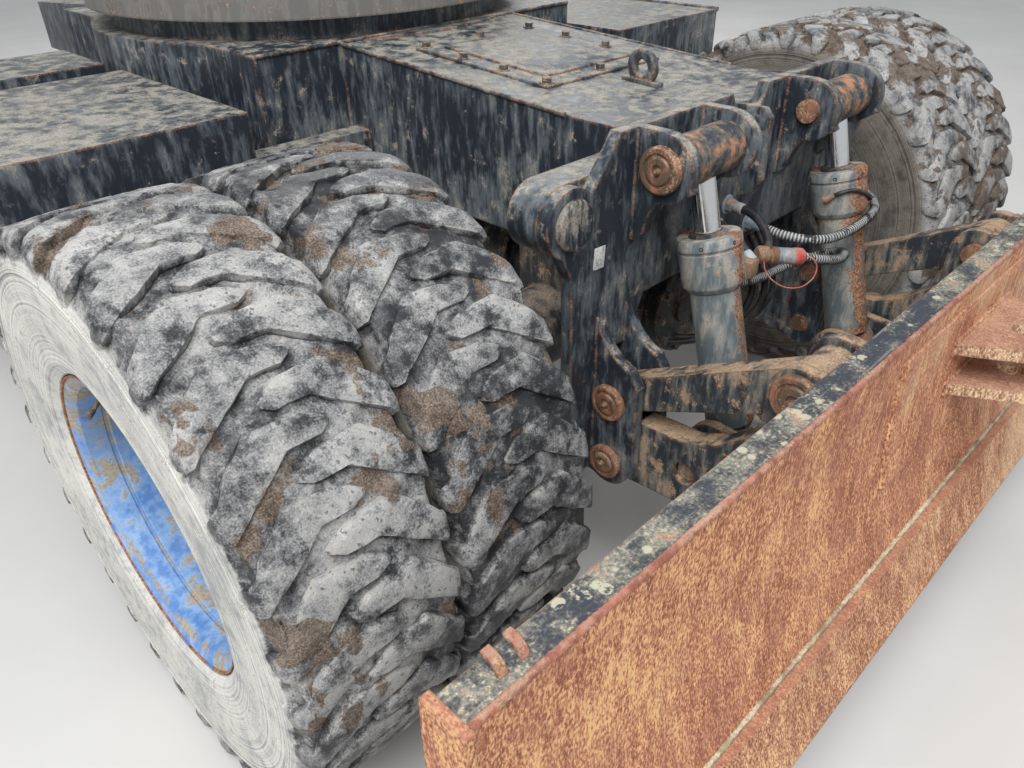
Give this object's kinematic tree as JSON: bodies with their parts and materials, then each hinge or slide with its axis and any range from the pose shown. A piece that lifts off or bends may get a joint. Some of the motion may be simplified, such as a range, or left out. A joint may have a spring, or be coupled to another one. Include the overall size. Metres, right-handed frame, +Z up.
{
  "type": "undercarriage of a wheeled excavator with twin wheels and a dozer blade",
  "caption": "Wheeled undercarriage with a slewing ring, twin lugged tyres, a steered oscillating axle and a hydraulic dozer blade on parallel links.",
  "frame": {"origin": "on the ground, at the centre of the bounding box in plan", "axes": "+X to the right, +Y from the blade towards the steering axle, +Z up"},
  "size_m": [2.553, 4.012, 1.194],
  "materials": {
    "frame_paint": "worn blue-black paint with dirt",
    "blade_rust": "rusted plate with worn paint",
    "edge_steel": "rusted hard steel",
    "pin_steel": "rusted and greased",
    "chrome_rod": "bright",
    "cylinder_paint": "grey-blue paint with rust flakes",
    "axle_iron": "dark paint on castings",
    "ring_steel": "greased",
    "tyre": "dusty rubber with dried clay",
    "rim_paint": "blue paint with dirt",
    "hose": "matt"
  },
  "bodies": {
    "chassis": {"chassis_frame": "frame_paint", "slew_inner_ring": "ring_steel", "swivel_joint": "axle_iron", "blade_axle": "axle_iron", "gearbox": "axle_iron", "drive_shaft": "axle_iron", "blade_bracket": "frame_paint", "bracket_pins": "pin_steel", "toolbox_left": "frame_paint", "toolbox_right": "frame_paint", "step_left": "frame_paint", "step_right": "frame_paint"},
    "upper_mount": {"slew_outer_ring": "ring_steel"},
    "left_door": {"door_left": "frame_paint"},
    "right_door": {"door_right": "frame_paint"},
    "oscillating_axle": {"steer_axle": "axle_iron", "steer_cylinder": "cylinder_paint"},
    "steering_rods": {"steer_rods": "chrome_rod"},
    "left_knuckle": {"knuckle_left": "axle_iron"},
    "right_knuckle": {"knuckle_right": "axle_iron"},
    "arms": {"lower_arms": "frame_paint", "arm_beam": "frame_paint", "arm_pins": "pin_steel"},
    "links": {"upper_links": "frame_paint"},
    "dozer_blade": {"blade": "blade_rust", "blade_ears": "frame_paint", "towing_clevis": "blade_rust", "cutting_edge": "edge_steel", "blade_pins": "pin_steel"},
    "barrels": {"cylinder_barrels": "cylinder_paint"},
    "rods": {"cylinder_rods": "chrome_rod"},
    "blade_wheels_left": {"tyres_blade_left": "tyre", "rims_blade_left": "rim_paint"},
    "blade_wheels_right": {"tyres_blade_right": "tyre", "rims_blade_right": "rim_paint"},
    "steer_wheels_left": {"tyres_steer_left": "tyre", "rims_steer_left": "rim_paint"},
    "steer_wheels_right": {"tyres_steer_right": "tyre", "rims_steer_right": "rim_paint"}
  },
  "joints": [
    {"name": "slew", "type": "hinge", "parent": "chassis", "child": "upper_mount", "pos_m": [0, 0.219, 1.15], "axis": [0, 0, 1], "continuous": true},
    {"name": "left_door_hinge", "type": "hinge", "parent": "chassis", "child": "left_door", "pos_m": [-1.2003, -0.171, 0.97], "axis": [0, 1, 0], "range_deg": [0, 100]},
    {"name": "right_door_hinge", "type": "hinge", "parent": "chassis", "child": "right_door", "pos_m": [1.2003, -0.171, 0.97], "axis": [0, -1, 0], "range_deg": [0, 100]},
    {"name": "axle_oscillation", "type": "hinge", "parent": "chassis", "child": "oscillating_axle", "pos_m": [0, 1.494, 0.512], "axis": [0, 1, 0], "range_deg": [-6, 6]},
    {"name": "left_steering", "type": "hinge", "parent": "oscillating_axle", "child": "left_knuckle", "pos_m": [-0.6, 1.494, 0.512], "axis": [0, 0, 1], "range_deg": [-27, 27]},
    {"name": "right_steering", "type": "hinge", "parent": "oscillating_axle", "child": "right_knuckle", "pos_m": [0.6, 1.494, 0.512], "axis": [0, 0, 1], "range_deg": [-27, 27]},
    {"name": "steering_rod_slide", "type": "slide", "parent": "oscillating_axle", "child": "steering_rods", "axis": [1, 0, 0], "range_m": [-0.105, 0.105]},
    {"name": "blade_lift", "type": "hinge", "parent": "chassis", "child": "arms", "pos_m": [0, -1.387, 0.38], "axis": [-1, 0, 0], "range_deg": [-54, 8]},
    {"name": "blade_level", "type": "hinge", "parent": "arms", "child": "dozer_blade", "pos_m": [0, -1.754, 0.557], "axis": [-1, 0, 0], "range_deg": [-8, 54]},
    {"name": "upper_link_swing", "type": "hinge", "parent": "chassis", "child": "links", "pos_m": [0, -1.387, 0.525], "axis": [-1, 0, 0], "range_deg": [-54, 8]},
    {"name": "cylinder_swing", "type": "hinge", "parent": "arms", "child": "barrels", "pos_m": [0, -1.553, 0.418], "axis": [-1, 0, 0], "range_deg": [-8, 50]},
    {"name": "cylinder_stroke", "type": "slide", "parent": "barrels", "child": "rods", "axis": [0, 0.2617, 0.9651], "range_m": [-0.025, 0.15]},
    {"name": "blade_left_spin", "type": "hinge", "parent": "chassis", "child": "blade_wheels_left", "pos_m": [-0.99, -1.056, 0.512], "axis": [1, 0, 0], "continuous": true},
    {"name": "blade_right_spin", "type": "hinge", "parent": "chassis", "child": "blade_wheels_right", "pos_m": [0.99, -1.056, 0.512], "axis": [1, 0, 0], "continuous": true},
    {"name": "steer_left_spin", "type": "hinge", "parent": "left_knuckle", "child": "steer_wheels_left", "pos_m": [-0.99, 1.494, 0.512], "axis": [1, 0, 0], "continuous": true},
    {"name": "steer_right_spin", "type": "hinge", "parent": "right_knuckle", "child": "steer_wheels_right", "pos_m": [0.99, 1.494, 0.512], "axis": [1, 0, 0], "continuous": true}
  ],
  "couplings": [
    {"joint": "right_steering", "follows": "left_steering", "ratio": 1},
    {"joint": "steering_rod_slide", "follows": "left_steering", "m_per_rad": -0.215},
    {"joint": "blade_level", "follows": "blade_lift", "ratio": -1},
    {"joint": "upper_link_swing", "follows": "blade_lift", "ratio": 1},
    {"joint": "cylinder_swing", "follows": "blade_lift", "ratio": -0.9006},
    {"joint": "cylinder_stroke", "follows": "blade_lift", "m_per_rad": -0.1528}
  ]
}
